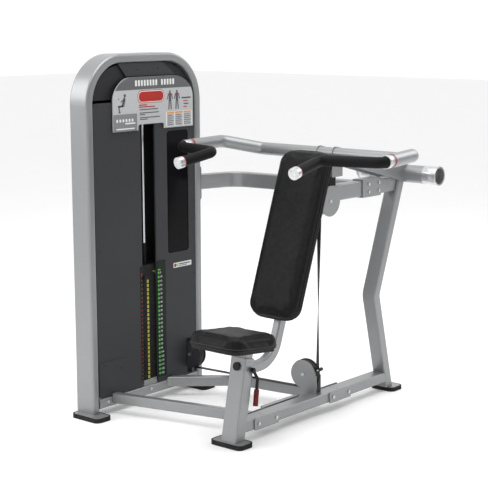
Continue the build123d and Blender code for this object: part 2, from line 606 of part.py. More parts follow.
def make_handles():
    collar = Vector(*COLLAR)
    corner = Vector(*CORNER)
    ahead = (collar - corner).normalized()
    turn = collar + ahead * 57
    inner = Vector(302, 104, 1264)
    end = Vector(327, -106, 1228)
    start = collar - ahead * 30
    bar = round_tube([tuple(start), tuple(turn), tuple(inner), tuple(end)], 38, BAR_RADIUS)
    keep("handle_bars", bar, mirrored(bar))
    last = (end - inner).normalized()
    grip_start, grip_end = collar + ahead * 8.2, end - last * 26
    grip = round_tube([tuple(grip_start), tuple(turn), tuple(inner), tuple(grip_end)], 38, GRIP_RADIUS)
    grip -= bar
    keep("grips", grip, mirrored(grip))
    face = Plane(origin=collar, z_dir=ahead)
    washer = face * extrude(Circle(ARM_RADIUS - 1) - Circle(BAR_RADIUS), amount=8) - bar
    ring_face = Plane(origin=collar - ahead * 16, z_dir=ahead)
    band = ring_face * extrude(Circle(ARM_RADIUS + 1.5) - Circle(ARM_RADIUS), amount=8)
    keep("grip_caps", washer, mirrored(washer))
    keep("grip_rings", band, mirrored(band))
    tip = Plane(origin=grip_end, z_dir=last)
    ring = tip * (Pos(0, 0, 0.2) * extrude(Circle(GRIP_RADIUS + 1) - Circle(BAR_RADIUS), amount=5))
    cap = tip * (Pos(0, 0, 5.4) * extrude(Circle(GRIP_RADIUS + 2), amount=26))
    cap -= bar
    keep("grip_rings", ring, mirrored(ring))
    keep("grip_caps", cap, mirrored(cap))


# --- drive ----------------------------------------------------------------------

def pulley(radius, width=BELT_WIDE + 1):
    """A flanged belt pulley about its own Z axis."""
    rim = extrude(Circle(radius), amount=width / 2 + 3, both=True)
    flange = extrude(Circle(radius + 4) - Circle(radius), amount=3)
    wheel = rim + Pos(0, 0, width / 2) * flange + Pos(0, 0, -width / 2 - 3) * flange
    for side in (-1, 1):
        dish = extrude(Circle(radius - 8) - Circle(AXLE_RADIUS + 12), amount=6)
        wheel -= Pos(0, 0, width / 2 - 3 if side > 0 else -width / 2 - 3) * dish
    return wheel - extrude(Circle(AXLE_RADIUS + 0.05), amount=width, both=True)


def belt_frame():
    """The belt's floor run: start, unit direction and length, seen from above."""
    start, end = Vector(*TOWER_PULLEY, 0), Vector(*FLOOR_PULLEY, 0)
    return start, (end - start).normalized(), (end - start).length


def twisted_belt(start, end, first_angle, last_angle, ease=36.0):
    """An upright belt run whose width turns from one direction to another."""
    steps = 8
    sections = []
    shares = [0.0, ease / (end.Z - start.Z)]
    shares += [i / steps for i in range(1, steps)]
    shares += [1 - shares[1], 1.0]
    for share in shares:
        inner = min(max((share - shares[1]) / (1 - 2 * shares[1]), 0), 1)
        angle = math.radians(first_angle + (last_angle - first_angle) * inner)
        spot = start + (end - start) * share
        plane = Plane(origin=spot, x_dir=(math.cos(angle), math.sin(angle), 0), z_dir=(0, 0, 1))
        sections.append(plane * Rectangle(BELT_WIDE, BELT_THICK))
    return loft(sections)


def make_drive():
    start, along, length = belt_frame()
    heading = math.degrees(math.atan2(along.Y, along.X))
    across = Vector(-along.Y, along.X, 0)
    sit = BELT_GAP + BELT_THICK / 2
    r1, r2 = TOWER_RADIUS + sit, FLOOR_RADIUS + sit
    z1, z2 = BELT_RUN_Z + r1, BELT_RUN_Z + r2
    axis_frame = Plane(origin=start, x_dir=along, z_dir=-across)
    low_pulleys = (("tower_pulley", 0, z1, TOWER_RADIUS), ("floor_pulley", length, z2, FLOOR_RADIUS))
    for name, distance, z, radius in low_pulleys:
        spot = start + along * distance + Vector(0, 0, z)
        keep(name, Plane(origin=spot, z_dir=across) * pulley(radius))
        keep("pulley_axles", rod(tuple(spot - across * 28), tuple(spot + across * 28), AXLE_RADIUS))
    with BuildLine(axis_frame) as run:
        Line((-r1, z1 + 1), (-r1, z1))
        RadiusArc((-r1, z1), (0, z1 - r1), -r1)
        Line((0, z1 - r1), (length, z2 - r2))
        RadiusArc((length, z2 - r2), (length + r2, z2), -r2)
        Line((length + r2, z2), (length + r2, z2 + 1))
    path = run.line
    section = Plane(origin=path @ 0, x_dir=across, z_dir=path % 0) * Rectangle(BELT_WIDE, BELT_THICK)
    keep("drive_belt", sweep(section, path=path))

    guide_y, guide_z = GUIDE_PULLEY
    low = start + along * (length + r2) + Vector(0, 0, z2 + 1.01)
    high = Vector(0, guide_y - GUIDE_RADIUS - sit, guide_z - 0.2)
    keep("drive_belt", twisted_belt(low, high, heading + 90, 180))
    keep("guide_pulley", Plane(origin=(0, guide_y, guide_z), z_dir=(1, 0, 0)) * pulley(GUIDE_RADIUS))

    rear_y, top_z = TOWER_PULLEY[1], TOP_PULLEY_Z
    turn = TOP_RADIUS + sit
    for name, y in (("top_pulley_rear", rear_y - turn), ("top_pulley_front", STACK_Y + turn)):
        keep(name, Plane(origin=(STACK_X, y, top_z), z_dir=(1, 0, 0)) * pulley(TOP_RADIUS))
        keep("pulley_axles", rod((STACK_X - 30, y, top_z), (STACK_X + 30, y, top_z), AXLE_RADIUS))
    low = start - along * r1 + Vector(0, 0, z1 + 1.01)
    high = Vector(STACK_X, rear_y, top_z - 1.01)
    keep("drive_belt", twisted_belt(low, high, heading + 90, 180))
    with BuildLine(Plane(origin=(STACK_X, 0, top_z), x_dir=(0, 1, 0), z_dir=(1, 0, 0))) as over:
        Line((rear_y, -1), (rear_y, 0))
        RadiusArc((rear_y, 0), (rear_y - turn, turn), -turn)
        Line((rear_y - turn, turn), (STACK_Y + turn, turn))
        RadiusArc((STACK_Y + turn, turn), (STACK_Y, 0), -turn)
        Line((STACK_Y, 0), (STACK_Y, -1))
    path = over.line
    section = Plane(origin=path @ 0, x_dir=(1, 0, 0), z_dir=path % 0) * Rectangle(BELT_WIDE, BELT_THICK)
    keep("drive_belt", sweep(section, path=path))
    clip_z = STACK_LOW + PLATE_COUNT * PLATE_PITCH + HEAD_THICK + 30 + 22
    half, flat = BELT_WIDE / 2, BELT_THICK / 2
    run_down = block(STACK_X - half, STACK_X + half, STACK_Y - flat, STACK_Y + flat, clip_z, top_z - 1.01)
    keep("stack_belt", run_down)

    inside = TOWER_HEIGHT - ARCH_TUBE
    outline = [(34, ROD_TOP - 14), (34, inside), (277, inside)]
    outline += [(340, inside - 13), (402, inside - 51), (402, 1500)]
    for side in (-1, 1):
        x = STACK_X + side * 22
        cheek = outline_yz(outline, x - 3, x + 3)
        for y in (rear_y - turn, STACK_Y + turn):
            cheek -= rod((x - 9, y, top_z), (x + 9, y, top_z), AXLE_RADIUS)
        keep("tower_brackets", cheek)
    rod_plate = block(STACK_X - 18.9, STACK_X + 18.9, 36, 2 * STACK_Y - 36, ROD_TOP - 10, ROD_TOP)
    rod_plate -= block(STACK_X - 16, STACK_X + 16, STACK_Y - 5, STACK_Y + 5, ROD_TOP - 20, ROD_TOP + 10)
    for y in (STACK_Y - ROD_SPACING / 2, STACK_Y + ROD_SPACING / 2):
        rod_plate -= rod((STACK_X, y, ROD_TOP - 20), (STACK_X, y, ROD_TOP + 20), ROD_RADIUS)
    keep("tower_brackets", rod_plate)
    tower_spot = start + Vector(0, 0, z1)
    floor_spot = start + along * length + Vector(0, 0, z2)
    for side in (-1, 1):
        plane = Plane(origin=tower_spot + across * (side * 20), x_dir=along, z_dir=-across)
        cheek = plane * (extrude(Circle(68), amount=3, both=True) + Pos(-35, -60, 0) * Box(30, 120, 6))
        cheek = trimmed(cheek, (0, 0, CROSS_TUBE_Z[1]), (0, 0, -1))
        cheek -= rod(tuple(tower_spot - across * 40), tuple(tower_spot + across * 40), AXLE_RADIUS)
        keep("tower_brackets", cheek)
        plane = Plane(origin=floor_spot + across * (side * 20), x_dir=along, z_dir=-across)
        cheek = plane * (extrude(Circle(68), amount=3, both=True) + Pos(34, -46, 0) * Box(78, 92, 6))
        cheek = trimmed(cheek, (0, 0, BEAM_TOP), (0, 0, -1))
        cheek -= rod(tuple(floor_spot - across * 40), tuple(floor_spot + across * 40), AXLE_RADIUS)
        keep("floor_bracket", cheek)


# --- write the nodes -----------------------------------------------------------

def write_nodes():
    os.makedirs("parts", exist_ok=True)
    boxes = [solid.bounding_box() for group in nodes.values() for solid in group]
    box = boxes[0]
    for other in boxes[1:]:
        box = box.add(other)
    shift = Vector(-(box.min.X + box.max.X) / 2, -(box.min.Y + box.max.Y) / 2, -box.min.Z)
    print("shift", shift, "size", box.size)
    for name, solids in nodes.items():
        pieces = [piece for shape in solids for piece in shape.solids()]
        placed = [Pos(*shift) * piece for piece in pieces]
        shape = placed[0] if len(placed) == 1 else Compound(children=placed)
        export_step(shape, f"parts/{name}.step")


make_feet()
make_base()
make_tower_frame()
make_shrouds()
make_stack()
make_seat()
make_back()
make_back_support()
make_upper_frame()
make_press_arm()
make_handles()
make_drive()
drill("frame_bolts", "splice_plates", "link_tube", "tower_sills")
drill("shroud_screws", "front_shroud", "rear_shroud", "access_panel")
write_nodes()
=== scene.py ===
# %% [markdown]
# # A shoulder press machine, from frame to finished look
# The steel frame, the plates and the pulleys are already made as solids and come
# in as the frame. This notebook gives every one of them a finish, makes the
# padded parts, belts, prints and trim, and sets up a small studio.

# %% Load the frame
import math

import bpy
from mathutils import Matrix, Vector


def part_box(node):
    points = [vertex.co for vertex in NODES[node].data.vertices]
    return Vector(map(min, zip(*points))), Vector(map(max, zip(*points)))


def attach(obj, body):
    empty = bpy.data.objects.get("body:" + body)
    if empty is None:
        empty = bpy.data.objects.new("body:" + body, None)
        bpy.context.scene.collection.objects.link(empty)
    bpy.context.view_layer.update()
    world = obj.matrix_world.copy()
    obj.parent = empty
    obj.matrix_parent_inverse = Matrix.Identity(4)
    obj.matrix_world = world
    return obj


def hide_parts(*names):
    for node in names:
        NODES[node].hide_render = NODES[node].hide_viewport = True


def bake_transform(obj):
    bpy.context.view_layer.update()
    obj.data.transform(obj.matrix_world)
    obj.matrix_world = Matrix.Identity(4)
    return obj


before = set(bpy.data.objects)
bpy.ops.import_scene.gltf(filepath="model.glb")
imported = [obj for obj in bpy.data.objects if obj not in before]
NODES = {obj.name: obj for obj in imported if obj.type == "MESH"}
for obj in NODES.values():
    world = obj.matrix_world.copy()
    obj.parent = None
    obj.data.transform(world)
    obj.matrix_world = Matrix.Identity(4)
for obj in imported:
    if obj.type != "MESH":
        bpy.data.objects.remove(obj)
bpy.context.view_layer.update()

# %% Small helpers for working by hand
def clear_selection():
    """Leave nothing selected, so that an operator only acts on the new piece."""
    if bpy.context.object and bpy.context.object.mode != "OBJECT":
        bpy.ops.object.mode_set(mode="OBJECT")
    bpy.ops.object.select_all(action="DESELECT")


def focus(piece):
    """Make one piece the selected and active one."""
    clear_selection()
    piece.select_set(True)
    bpy.context.view_layer.objects.active = piece


def settle(piece, place=None):
    """Move a piece by a matrix and bake its place into its mesh."""
    focus(piece)
    if place is not None:
        piece.matrix_world = place @ piece.matrix_world
    bpy.ops.object.transform_apply(location=True, rotation=True, scale=True)
    return piece


def apply_modifier(piece, kind, **settings):
    """Add a modifier with its settings and apply it."""
    focus(piece)
    modifier = piece.modifiers.new(kind.title(), kind)
    for key, value in settings.items():
        setattr(modifier, key, value)
    bpy.ops.object.modifier_apply(modifier=modifier.name)
    return piece


def pick(piece, kind, test):
    """Enter edit mode with the edges or faces chosen whose corners all pass a test."""
    focus(piece)
    bpy.ops.object.mode_set(mode="EDIT")
    bpy.ops.mesh.select_mode(type="VERT")
    bpy.ops.mesh.select_all(action="DESELECT")
    bpy.ops.mesh.select_mode(type=kind)
    bpy.ops.object.mode_set(mode="OBJECT")
    mesh = piece.data
    chosen = mesh.edges if kind == "EDGE" else mesh.polygons
    count = 0
    for part in chosen:
        part.select = test([mesh.vertices[i].co for i in part.vertices])
        count += part.select
    bpy.ops.object.mode_set(mode="EDIT")
    return count


def leave_edit():
    """Leave edit mode."""
    bpy.ops.object.mode_set(mode="OBJECT")


# %% [markdown]
# ## Finishes
# Every finish starts from one Principled shader. A pattern on Object coordinates
# varies the colour, the gloss and the surface, because real paint, rubber and
# steel are never the same all over. Values that don't vary stay on the sockets.

# %% Finish helpers
def new_finish(name, color, metallic=0.0, roughness=0.5, gleam=0.5, **sockets):
    """A material with one Principled shader and plain socket values; gleam is its specular level."""
    finish = bpy.data.materials.new(name)
    finish.use_nodes = True
    shader = finish.node_tree.nodes["Principled BSDF"]
    shader.inputs["Base Color"].default_value = (*color, 1)
    shader.inputs["Metallic"].default_value = metallic
    shader.inputs["Roughness"].default_value = roughness
    shader.inputs["Specular IOR Level"].default_value = gleam
    for key, value in sockets.items():
        shader.inputs[key.replace("_", " ")].default_value = value
    return finish


def pattern(finish, kind, scale, stretch=(1, 1, 1), **values):
    """A texture on Object coordinates; returns its main output."""
    tree = finish.node_tree
    coordinates = tree.nodes.new("ShaderNodeTexCoord")
    mapping = tree.nodes.new("ShaderNodeMapping")
    mapping.inputs["Scale"].default_value = stretch
    texture = tree.nodes.new("ShaderNodeTex" + kind)
    texture.inputs["Scale"].default_value = scale
    for key, value in values.items():
        texture.inputs[key.replace("_", " ")].default_value = value
    tree.links.new(coordinates.outputs["Object"], mapping.inputs["Vector"])
    tree.links.new(mapping.outputs["Vector"], texture.inputs["Vector"])
    return texture.outputs[0] if kind != "Noise" else texture.outputs["Fac"]


def vary_color(finish, source, dark, light, low=0.35, high=0.65):
    """Run the base colour from dark to light with a pattern."""
    tree = finish.node_tree
    ramp = tree.nodes.new("ShaderNodeValToRGB")
    ramp.color_ramp.elements[0].position = low
    ramp.color_ramp.elements[1].position = high
    ramp.color_ramp.elements[0].color = (*dark, 1)
    ramp.color_ramp.elements[1].color = (*light, 1)
    tree.links.new(source, ramp.inputs["Fac"])
    tree.links.new(ramp.outputs["Color"], tree.nodes["Principled BSDF"].inputs["Base Color"])


def vary_gloss(finish, source, low, high):
    """Run the roughness between two values with a pattern."""
    tree = finish.node_tree
    spread = tree.nodes.new("ShaderNodeMapRange")
    spread.inputs["To Min"].default_value = low
    spread.inputs["To Max"].default_value = high
    tree.links.new(source, spread.inputs["Value"])
    tree.links.new(spread.outputs["Result"], tree.nodes["Principled BSDF"].inputs["Roughness"])


def raise_surface(finish, source, strength, depth):
    """Give the surface relief from a pattern."""
    tree = finish.node_tree
    relief = tree.nodes.new("ShaderNodeBump")
    relief.inputs["Strength"].default_value = strength
    relief.inputs["Distance"].default_value = depth
    tree.links.new(source, relief.inputs["Height"])
    tree.links.new(relief.outputs["Normal"], tree.nodes["Principled BSDF"].inputs["Normal"])


# %% [markdown]
# ### Painted steel
# The frame is silver grey powder coat with a fine metal flake: slightly metallic,
# satin, with the faint orange peel that powder leaves when it melts. The tower's
# sheets have the same coat in charcoal, duller and with a finer grain.

# %% Silver frame paint
silver_paint = new_finish(
    "silver_powder_coat", (0.30, 0.305, 0.31), 0.55, 0.34, Coat_Weight=0.15, Coat_Roughness=0.25)
flake = pattern(silver_paint, "Noise", 900, Detail=2)
vary_color(silver_paint, flake, (0.25, 0.255, 0.26), (0.33, 0.335, 0.34))
vary_gloss(silver_paint, pattern(silver_paint, "Noise", 9, Detail=4), 0.30, 0.42)
raise_surface(silver_paint, pattern(silver_paint, "Noise", 240, Detail=1), 0.10, 0.0006)
print(silver_paint.name)

# %% Charcoal tower paint, and a darker copy as painted shade for the inner sheets
charcoal_paint = new_finish("charcoal_powder_coat", (0.036, 0.037, 0.040), 0.1, 0.5, 0.3)
vary_color(charcoal_paint, pattern(charcoal_paint, "Noise", 700, Detail=2),
           (0.033, 0.034, 0.037), (0.045, 0.046, 0.050))
vary_gloss(charcoal_paint, pattern(charcoal_paint, "Noise", 5, Detail=5), 0.42, 0.56)
raise_surface(charcoal_paint, pattern(charcoal_paint, "Noise", 520, Detail=2), 0.22, 0.0006)
# The inner sheets inside the channel get a darker charcoal than the outer shrouds: painted shade for the
# recess between the shrouds.
channel_shade_paint = new_finish("inner_coat_painted_shade", (0.022, 0.022, 0.024), 0.1, 0.6, 0.25)
vary_color(channel_shade_paint, pattern(channel_shade_paint, "Noise", 600, Detail=2),
           (0.018, 0.018, 0.020), (0.027, 0.027, 0.029))
vary_gloss(channel_shade_paint, pattern(channel_shade_paint, "Noise", 4, Detail=4), 0.45, 0.6)
raise_surface(channel_shade_paint, pattern(channel_shade_paint, "Noise", 480, Detail=2), 0.2, 0.0006)
print(charcoal_paint.name, channel_shade_paint.name)

# %% [markdown]
# ### Rubber, vinyl and plastic
# Shoes, grips and belts are black rubber, each with its own grain. The pads are
# covered with pebbled vinyl: a fine cell pattern raised a little, with a soft
# sheen at grazing angles. Pulleys are moulded nylon.

# %% Rubbers
shoe_rubber = new_finish("shoe_rubber", (0.014, 0.014, 0.014), 0.0, 0.72, 0.2)
vary_color(shoe_rubber, pattern(shoe_rubber, "Noise", 40, Detail=6),
           (0.011, 0.011, 0.011), (0.022, 0.022, 0.021))
raise_surface(shoe_rubber, pattern(shoe_rubber, "Noise", 500, Detail=3), 0.35, 0.0008)
grip_rubber = new_finish(
    "grip_foam_rubber", (0.007, 0.007, 0.007), 0.0, 0.62, 0.12, Sheen_Weight=0.02, Sheen_Roughness=0.4)
vary_color(grip_rubber, pattern(grip_rubber, "Noise", 300, Detail=4),
           (0.006, 0.006, 0.006), (0.010, 0.010, 0.010))
raise_surface(grip_rubber, pattern(grip_rubber, "Voronoi", 900), 0.25, 0.0005)
belt_rubber = new_finish("belt_rubber", (0.016, 0.016, 0.016), 0.0, 0.55, 0.2)
vary_color(belt_rubber, pattern(belt_rubber, "Noise", 150, Detail=5),
           (0.012, 0.012, 0.012), (0.022, 0.022, 0.022))
raise_surface(belt_rubber, pattern(belt_rubber, "Noise", 700, Detail=2), 0.3, 0.0005)
red_rubber = new_finish("red_sleeve_rubber", (0.13, 0.012, 0.014), 0.0, 0.45, 0.2)
vary_color(red_rubber, pattern(red_rubber, "Noise", 120, Detail=4),
           (0.11, 0.010, 0.012), (0.17, 0.016, 0.018))
raise_surface(red_rubber, pattern(red_rubber, "Noise", 600, Detail=2), 0.2, 0.0005)
print("rubbers ready")

# %% Pad vinyl
pad_vinyl = new_finish(
    "pebbled_vinyl", (0.007, 0.007, 0.008), 0.0, 0.5, 0.14, Sheen_Weight=0.01, Sheen_Roughness=0.5)
vary_color(pad_vinyl, pattern(pad_vinyl, "Noise", 60, Detail=6),
           (0.006, 0.006, 0.007), (0.010, 0.010, 0.011))
vary_gloss(pad_vinyl, pattern(pad_vinyl, "Noise", 14, Detail=5), 0.42, 0.56)
raise_surface(pad_vinyl, pattern(pad_vinyl, "Voronoi", 620), 0.28, 0.0007)
thread = new_finish("black_thread", (0.02, 0.02, 0.02), 0.0, 0.6)
vary_color(thread, pattern(thread, "Noise", 900, Detail=2),
           (0.014, 0.014, 0.014), (0.03, 0.03, 0.03))
raise_surface(thread, pattern(thread, "Wave", 300), 0.5, 0.0006)
print(pad_vinyl.name, thread.name)

# %% Board, plastic and pane
pad_board = new_finish("black_stained_board", (0.02, 0.018, 0.016), 0.0, 0.6, 0.2)
vary_color(pad_board, pattern(pad_board, "Noise", 30, (1, 14, 1), Detail=6),
           (0.014, 0.012, 0.011), (0.03, 0.027, 0.024))
raise_surface(pad_board, pattern(pad_board, "Noise", 40, (1, 18, 1), Detail=4), 0.3, 0.0008)
nylon = new_finish("moulded_nylon", (0.016, 0.016, 0.017), 0.0, 0.42, 0.2)
vary_color(nylon, pattern(nylon, "Noise", 80, Detail=4),
           (0.013, 0.013, 0.014), (0.022, 0.022, 0.023))
vary_gloss(nylon, pattern(nylon, "Noise", 25, Detail=4), 0.34, 0.5)
raise_surface(nylon, pattern(nylon, "Noise", 400, Detail=2), 0.12, 0.0005)
smoked_pane = new_finish("smoked_acrylic", (0.003, 0.003, 0.004), 0.0, 0.10, 0.08)
vary_color(smoked_pane, pattern(smoked_pane, "Noise", 3, Detail=2),
           (0.002, 0.002, 0.003), (0.004, 0.004, 0.005))
vary_gloss(smoked_pane, pattern(smoked_pane, "Noise", 20, Detail=5), 0.07, 0.16)
red_gloss = new_finish(
    "red_gloss_plastic", (0.30, 0.02, 0.015), 0.0, 0.3, Coat_Weight=0.3, Coat_Roughness=0.15)
vary_color(red_gloss, pattern(red_gloss, "Noise", 60, Detail=3),
           (0.27, 0.017, 0.013), (0.34, 0.026, 0.018))
yellow_gloss = new_finish("yellow_gloss_plastic", (0.5, 0.45, 0.03), 0.0, 0.35)
vary_color(yellow_gloss, pattern(yellow_gloss, "Noise", 60, Detail=3),
           (0.44, 0.40, 0.03), (0.56, 0.51, 0.05))
black_plug = new_finish("black_end_plug", (0.015, 0.015, 0.015), 0.0, 0.5, 0.2)
vary_gloss(black_plug, pattern(black_plug, "Noise", 60, Detail=4), 0.4, 0.6)
print("plastics ready")

# %% [markdown]
# ### Bare metals
# The plates are cast iron under black paint, with a lumpy cast skin. The guide
# rods are hard chrome, polished along their length, and the caps are turned
# aluminium with fine tool marks.

# %% Metals
cast_iron = new_finish("black_cast_iron", (0.009, 0.009, 0.009), 0.1, 0.55, 0.2)
vary_color(cast_iron, pattern(cast_iron, "Noise", 25, Detail=8),
           (0.007, 0.007, 0.007), (0.013, 0.013, 0.013))
vary_gloss(cast_iron, pattern(cast_iron, "Noise", 60, Detail=6), 0.4, 0.62)
raise_surface(cast_iron, pattern(cast_iron, "Noise", 180, Detail=6), 0.4, 0.0012)
rod_chrome = new_finish("rod_chrome", (0.72, 0.73, 0.75), 1.0, 0.14)
vary_gloss(rod_chrome, pattern(rod_chrome, "Noise", 30, (1, 1, 0.05), Detail=4), 0.08, 0.20)
raise_surface(rod_chrome, pattern(rod_chrome, "Noise", 900, (1, 1, 0.02), Detail=2), 0.05, 0.0003)
turned_aluminium = new_finish("turned_aluminium", (0.62, 0.62, 0.63), 0.9, 0.3)
vary_color(turned_aluminium, pattern(turned_aluminium, "Noise", 70, Detail=4),
           (0.55, 0.55, 0.56), (0.68, 0.68, 0.69))
vary_gloss(turned_aluminium, pattern(turned_aluminium, "Wave", 400, Distortion=1.5), 0.24, 0.36)
raise_surface(turned_aluminium, pattern(turned_aluminium, "Wave", 600, Distortion=1.0), 0.08, 0.0003)
zinc_steel = new_finish("zinc_plated_steel", (0.62, 0.62, 0.63), 0.9, 0.28)
vary_color(zinc_steel, pattern(zinc_steel, "Noise", 130, Detail=5),
           (0.52, 0.52, 0.53), (0.68, 0.68, 0.69))
vary_gloss(zinc_steel, pattern(zinc_steel, "Noise", 90, Detail=5), 0.28, 0.45)
print("metals ready")

# %% [markdown]
# ### Printed sheets
# The instruction board and the labels are printed film: a flat ink colour under a
# smooth clear face. One small helper makes each ink.

# %% Inks
def ink(name, color, roughness=0.35):
    """A printed ink, faintly mottled like real screen print."""
    finish = new_finish(name, color, 0.0, roughness, 0.2)
    darker = tuple(c * 0.94 for c in color)
    lighter = tuple(min(c * 1.05, 1) for c in color)
    vary_color(finish, pattern(finish, "Noise", 160, Detail=3), darker, lighter)
    return finish


board_ink = ink("board_pale_ink", (0.50, 0.51, 0.52))
header_ink = ink("board_header_ink", (0.125, 0.13, 0.135))
lobe_ink = ink("board_lobe_ink", (0.235, 0.24, 0.245))
white_ink = ink("white_ink", (0.78, 0.78, 0.78))
dark_ink = ink("dark_ink", (0.10, 0.10, 0.105))
red_ink = ink("red_ink", (0.42, 0.03, 0.024))
orange_ink = ink("orange_ink", (0.72, 0.33, 0.06))
label_ink = ink("label_dark_green_ink", (0.005, 0.015, 0.008))
green_ink = ink("label_green_ink", (0.12, 0.48, 0.09))
print("inks ready")

# %% [markdown]
# ## Dressing the frame
# Each node of the frame gets its finish in its own material slots. Its mesh is
# never touched.

# %% Dress the nodes
def dress(finish, *names):
    """Give frame nodes a finish."""
    for name in names:
        mesh_object = NODES[name]
        if not mesh_object.material_slots:
            mesh_object.data.materials.append(finish)
        for slot in mesh_object.material_slots:
            slot.material = finish


dress(silver_paint, "foot_plates", "base_stubs", "base_beam", "splice_plates", "side_rail",
      "front_floor_tube", "rear_floor_tube", "tower_arch", "tower_sills", "seat_post", "seat_stem",
      "back_support_tube", "rear_upright", "upper_beam", "link_tube", "guide_bracket", "floor_bracket",
      "arm_yoke", "arm_plates", "arm_hub", "stop_bracket")
dress(charcoal_paint, "shroud_screws", "front_shroud", "rear_shroud", "access_panel", "tower_brackets")
dress(channel_shade_paint, "inner_shrouds")
dress(shoe_rubber, "rubber_feet", "rubber_bumpers")
dress(belt_rubber, "drive_belt", "arm_belt", "stack_belt")
dress(grip_rubber, "grips")
dress(red_rubber, "lever_grips")
dress(pad_vinyl, "seat_pad", "back_pad")
dress(pad_board, "seat_board", "back_board")
dress(nylon, "floor_pulley", "tower_pulley", "top_pulley_rear", "top_pulley_front", "guide_pulley")
dress(smoked_pane, "shroud_window")
dress(cast_iron, "weight_plates", "selected_plate", "head_plate")
dress(rod_chrome, "guide_rods")
dress(turned_aluminium, "grip_caps")
dress(black_plug, "post_cap", "seat_lever", "selector_pin")
dress(zinc_steel, "frame_bolts", "selector_stem", "pulley_axles", "pivot_shaft", "handle_bars")
dress(red_gloss, "grip_rings")
dress(board_ink, "placard")
dress(label_ink, "stack_labels")
print("dressed", len(NODES))

# %% [markdown]
# ## Padded seat and back
# A gym pad is foam glued on a board, with vinyl pulled over it and stapled
# behind. It could be carved with a subdivision surface, but the soft swelling
# between its edges comes more truly from a cloth simulation: a slab with round
# corners is filled with pressure while its rear face is held against the board.

# %% Sizes that the pads share
PAD_GAP = 0.006          # how much smaller than its frame solid each slab starts
PAD_EDGE = 0.018         # rounding of the front edge
FOAM_CAP = 0.008         # furthest that the vinyl may swell
SEAM_LEVEL = 0.014       # height of the seam over the rear face
SEAM_RADIUS = 0.0016
print("slab gap", PAD_GAP, "largest swelling", FOAM_CAP)


# %% Slab with round corners
def pad_slab(name, wide, high, thick, corner, edge):
    """A slab flat on its local XY plane, with round corners and a soft front edge."""
    clear_selection()
    bpy.ops.mesh.primitive_cube_add(size=1, scale=(wide, high, thick))
    slab = bpy.context.object
    slab.name = name
    settle(slab)
    pick(slab, "EDGE", lambda ends: (ends[0] - ends[1]).normalized().to_2d().length < 0.1)
    bpy.ops.mesh.bevel(offset=corner, segments=10, affect="EDGES")
    leave_edit()
    pick(slab, "EDGE", lambda ends: min(e.z for e in ends) > thick / 2 - 1e-5)
    bpy.ops.mesh.bevel(offset=edge, segments=5, affect="EDGES")
    leave_edit()
    return slab


# %% Stuffing by cloth pressure
def stuff(pad, thick, voxel):
    """Remesh a slab, swell it with cloth pressure, limit the swelling and smooth it."""
    apply_modifier(pad, "REMESH", mode="VOXEL", voxel_size=voxel)
    rest = [v.co.copy() for v in pad.data.vertices]
    held = pad.vertex_groups.new(name="held")
    held.add([i for i, co in enumerate(rest) if co.z < -thick / 2 + voxel], 1.0, "REPLACE")
    focus(pad)
    cloth = pad.modifiers.new("Stuffing", "CLOTH")
    cloth.settings.quality = 4
    cloth.settings.mass = 0.3
    cloth.settings.tension_stiffness = 30
    cloth.settings.compression_stiffness = 30
    cloth.settings.bending_stiffness = 1.0
    cloth.settings.use_pressure = True
    cloth.settings.uniform_pressure_force = 4
    cloth.settings.effector_weights.gravity = 0
    cloth.settings.vertex_group_mass = "held"
    for step in range(1, 21):
        bpy.context.scene.frame_set(step)
    bpy.ops.object.modifier_apply(modifier=cloth.name)
    bpy.context.scene.frame_set(1)
    pad.vertex_groups.clear()
    for vertex, start in zip(pad.data.vertices, rest):
        move = vertex.co - start
        if move.length > FOAM_CAP:
            vertex.co = start + move.normalized() * FOAM_CAP
    apply_modifier(pad, "SMOOTH", factor=0.5, iterations=4)
    apply_modifier(pad, "SUBSURF", levels=1, render_levels=1)
    bpy.ops.object.shade_smooth()
    swell = max(v.co.z for v in pad.data.vertices) - thick / 2
    print(pad.name, "faces", len(pad.data.polygons), "crown", round(swell * 1000, 1), "mm")


# %% [markdown]
# The vinyl is closed with a sewn seam a little in front of the board. Its line
# starts as the rim of the pad, is drawn onto the swollen vinyl with Shrinkwrap,
# and gets the thickness of a folded edge as a curve with a round bevel.

# %% Seam around a pad
def pad_seam(name, pad, wide, high, thick, corner):
    """A thin sewn bead around the side of a pad, at one height over its board."""
    clear_selection()
    bpy.ops.mesh.primitive_plane_add(size=1, location=(0, 0, SEAM_LEVEL - thick / 2))
    seam = bpy.context.object
    seam.name = name
    seam.scale = (wide, high, 1)
    settle(seam)
    bpy.ops.object.mode_set(mode="EDIT")
    bpy.ops.mesh.select_all(action="SELECT")
    bpy.ops.mesh.bevel(offset=corner, segments=10, affect="VERTICES")
    bpy.ops.mesh.select_all(action="SELECT")
    bpy.ops.mesh.delete(type="ONLY_FACE")
    bpy.ops.mesh.select_all(action="SELECT")
    bpy.ops.mesh.subdivide(number_cuts=6)
    leave_edit()
    apply_modifier(seam, "SHRINKWRAP", target=pad, wrap_method="NEAREST_SURFACEPOINT")
    focus(seam)
    bpy.ops.object.convert(target="CURVE")
    seam = bpy.context.object
    seam.data.bevel_depth = SEAM_RADIUS
    seam.data.bevel_resolution = 2
    bpy.ops.object.convert(target="MESH")
    return bpy.context.object


# %% Finish for any new piece
def complete(piece, finish, body, angle=35):
    """Bake a piece's place, give it its finish, and let it ride with a body."""
    settle(piece)
    piece.data.materials.clear()
    piece.data.materials.append(finish)
    focus(piece)
    bpy.ops.object.shade_smooth_by_angle(angle=math.radians(angle))
    if body:
        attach(piece, body)
    return piece


